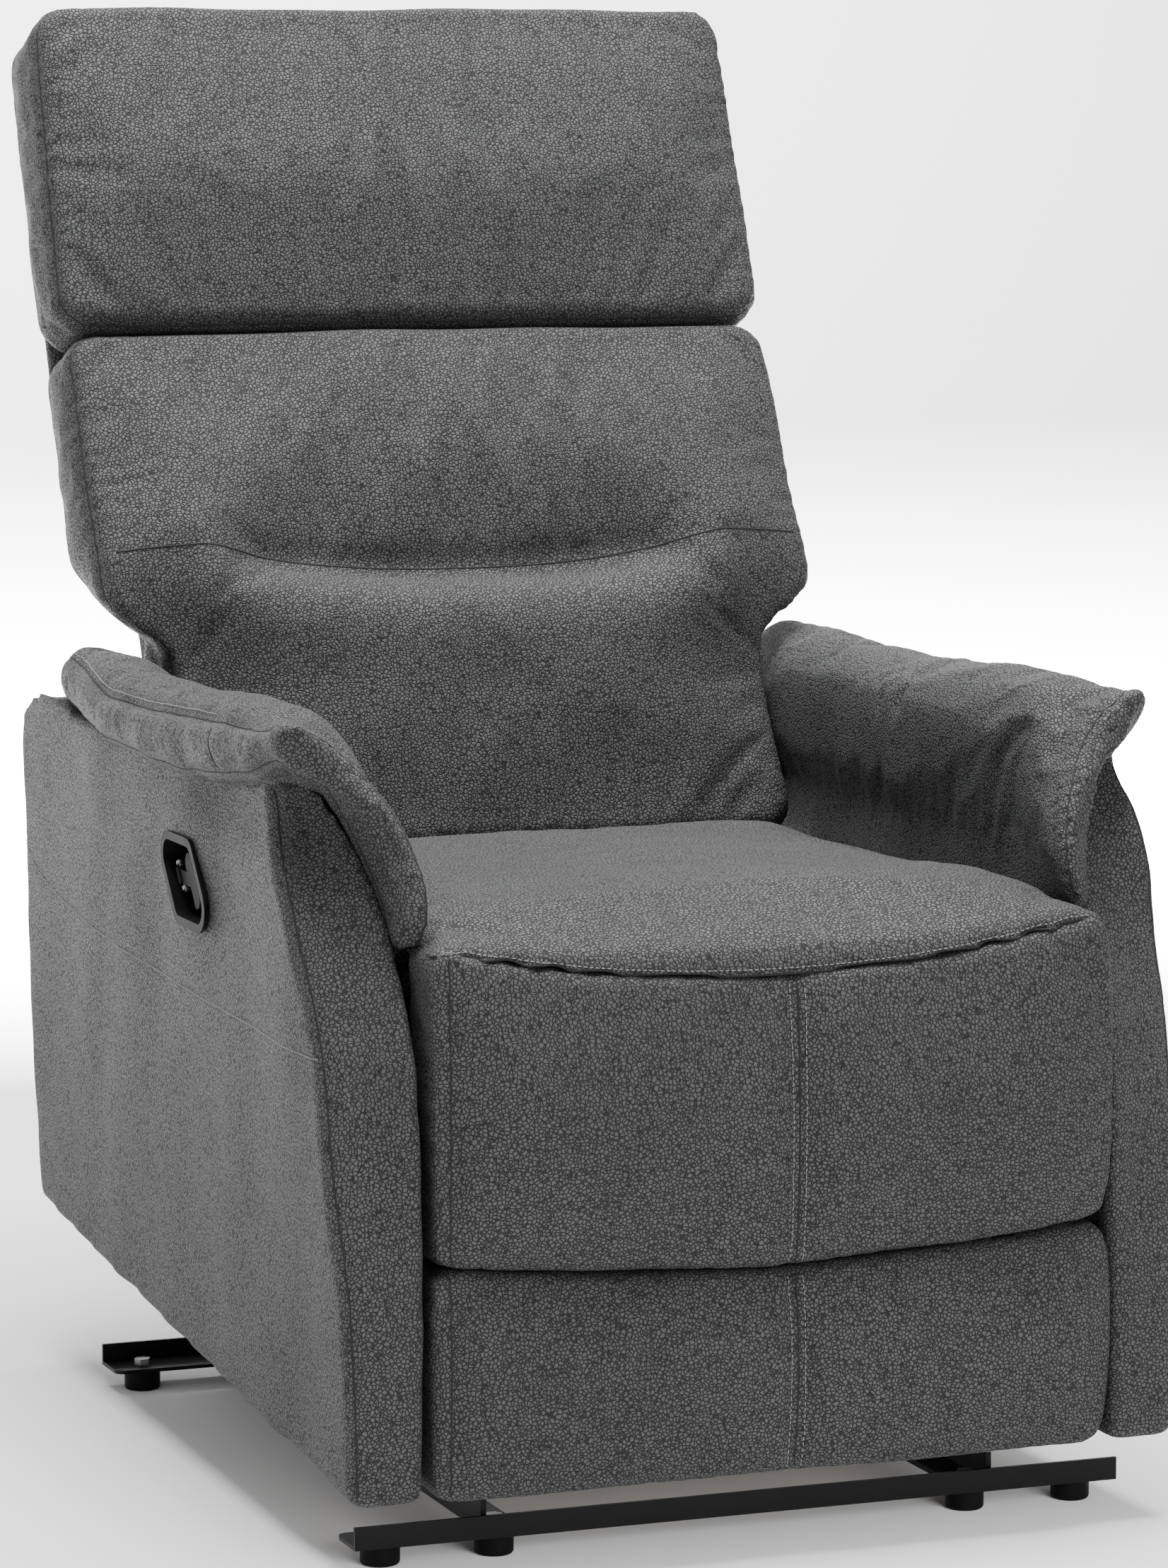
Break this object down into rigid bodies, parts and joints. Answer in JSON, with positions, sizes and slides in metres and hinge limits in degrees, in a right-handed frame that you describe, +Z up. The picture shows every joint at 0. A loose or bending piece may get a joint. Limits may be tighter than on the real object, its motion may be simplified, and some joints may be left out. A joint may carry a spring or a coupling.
{
  "type": "recliner armchair",
  "caption": "Upholstered recliner armchair with swing-link glide, reclining back, folding padded footrest and a side release paddle on a low steel floor frame.",
  "frame": {"origin": "on the floor, midway between the arms and midway from the front of the arms to the rear of the upright back", "axes": "+Z up; -Y towards the front, where the sitter faces; +X to the sitter's left"},
  "size_m": [0.684, 0.9816, 1.1116],
  "materials": {
    "upholstery": "dark grey pebbled leather-look microfibre",
    "flap_cloth": "thin black non-woven cloth",
    "black_steel": "satin black powder coat",
    "black_plastic": "fine-textured black plastic",
    "cable_sheath": "smooth black sheath",
    "spring_steel": "bright drawn wire",
    "webbing": "woven elastic webbing",
    "timber": "plain sawn softwood and plywood",
    "zinc_fasteners": "zinc plated"
  },
  "bodies": {
    "floor_frame": {"front_cross_angle": "black_steel", "rear_cross_angle": "black_steel", "base_rail_right": "black_steel", "base_rail_left": "black_steel", "floor_glides": "black_plastic", "base_bolts": "zinc_fasteners", "base_pivot_rivets": "zinc_fasteners"},
    "rear_swing_links": {"rear_swing_link_right": "black_steel", "rear_swing_link_left": "black_steel", "swing_torque_tube": "black_steel"},
    "front_swing_links": {"front_swing_link_right": "black_steel", "front_swing_link_left": "black_steel", "front_swing_tie_rod": "black_steel"},
    "chair_body": {"side_plate_right": "black_steel", "side_plate_left": "black_steel", "swing_top_rivets": "zinc_fasteners", "seat_side_rail_right": "timber", "seat_side_rail_left": "timber", "seat_front_rail": "timber", "seat_rear_rail": "timber", "seat_springs": "spring_steel", "seat_cushion": "upholstery", "arm_board_right": "timber", "arm_board_left": "timber", "arm_outer_panel_right": "upholstery", "arm_outer_panel_left": "upholstery", "arm_pad_right": "upholstery", "arm_pad_left": "upholstery", "arm_bolts": "zinc_fasteners", "release_cup": "black_plastic", "paddle_pin": "spring_steel", "paddle_spring": "spring_steel", "release_cable": "cable_sheath", "footrest_pivot_rivets": "zinc_fasteners", "back_pivot_bolts": "zinc_fasteners", "rear_flap": "flap_cloth"},
    "release_paddle": {"release_paddle": "black_plastic"},
    "footrest_lower_links": {"footrest_lower_link_right": "black_steel", "footrest_lower_link_left": "black_steel", "footrest_torque_tube": "black_steel", "footrest_elbow_rivets": "zinc_fasteners"},
    "footrest_upper_links": {"footrest_upper_link_right": "black_steel", "footrest_upper_link_left": "black_steel"},
    "footrest": {"footrest_bracket_right": "black_steel", "footrest_bracket_left": "black_steel", "footrest_end_rivets": "zinc_fasteners", "footrest_board": "timber", "footrest_upper_pad": "upholstery", "footrest_lower_pad": "upholstery"},
    "backrest": {"back_bracket_right": "black_steel", "back_bracket_left": "black_steel", "back_post_right": "timber", "back_post_left": "timber", "back_top_rail": "timber", "back_middle_rail": "timber", "back_bottom_rail": "timber", "back_webbing": "webbing", "rear_cover": "upholstery", "lower_back_cushion": "upholstery", "head_cushion": "upholstery"}
  },
  "joints": [
    {"name": "rear_swing", "type": "hinge", "parent": "floor_frame", "child": "rear_swing_links", "pos_m": [0, 0.04515, 0.07], "axis": [1, 0, 0], "range_deg": [0, 26.2]},
    {"name": "chair_tilt", "type": "hinge", "parent": "rear_swing_links", "child": "chair_body", "pos_m": [0, 0.05736, 0.20947], "axis": [-1, 0, 0], "range_deg": [0, 29.89]},
    {"name": "front_swing", "type": "hinge", "parent": "floor_frame", "child": "front_swing_links", "pos_m": [0, -0.27485, 0.07], "axis": [1, 0, 0], "range_deg": [0, 26.56]},
    {"name": "back_recline", "type": "hinge", "parent": "chair_body", "child": "backrest", "pos_m": [0, 0.13515, 0.34], "axis": [-1, 0, 0], "range_deg": [0, 24]},
    {"name": "footrest_extend", "type": "hinge", "parent": "chair_body", "child": "footrest_lower_links", "pos_m": [0, -0.33985, 0.36], "axis": [-1, 0, 0], "range_deg": [0, 75]},
    {"name": "footrest_elbow", "type": "hinge", "parent": "footrest_lower_links", "child": "footrest_upper_links", "pos_m": [0, -0.33985, 0.22], "axis": [1, 0, 0], "range_deg": [0, 141]},
    {"name": "footrest_turn", "type": "hinge", "parent": "footrest_upper_links", "child": "footrest", "pos_m": [0, -0.39901, 0.34688], "axis": [-1, 0, 0], "range_deg": [0, 156]},
    {"name": "paddle_pull", "type": "hinge", "parent": "chair_body", "child": "release_paddle", "pos_m": [-0.3225, -0.09385, 0.461], "axis": [0, -0.6568, -0.7541], "range_deg": [0, 25], "stiffness_Nm_per_rad": 0.3, "springref_deg": -8.59}
  ],
  "couplings": [
    {"joint": "rear_swing", "follows": "back_recline", "ratio": 1.0833},
    {"joint": "chair_tilt", "follows": "back_recline", "ratio": 1.2369},
    {"joint": "front_swing", "follows": "back_recline", "ratio": 1.0985},
    {"joint": "footrest_elbow", "follows": "footrest_extend", "ratio": 1.8667},
    {"joint": "footrest_turn", "follows": "footrest_extend", "ratio": 2.0667}
  ]
}
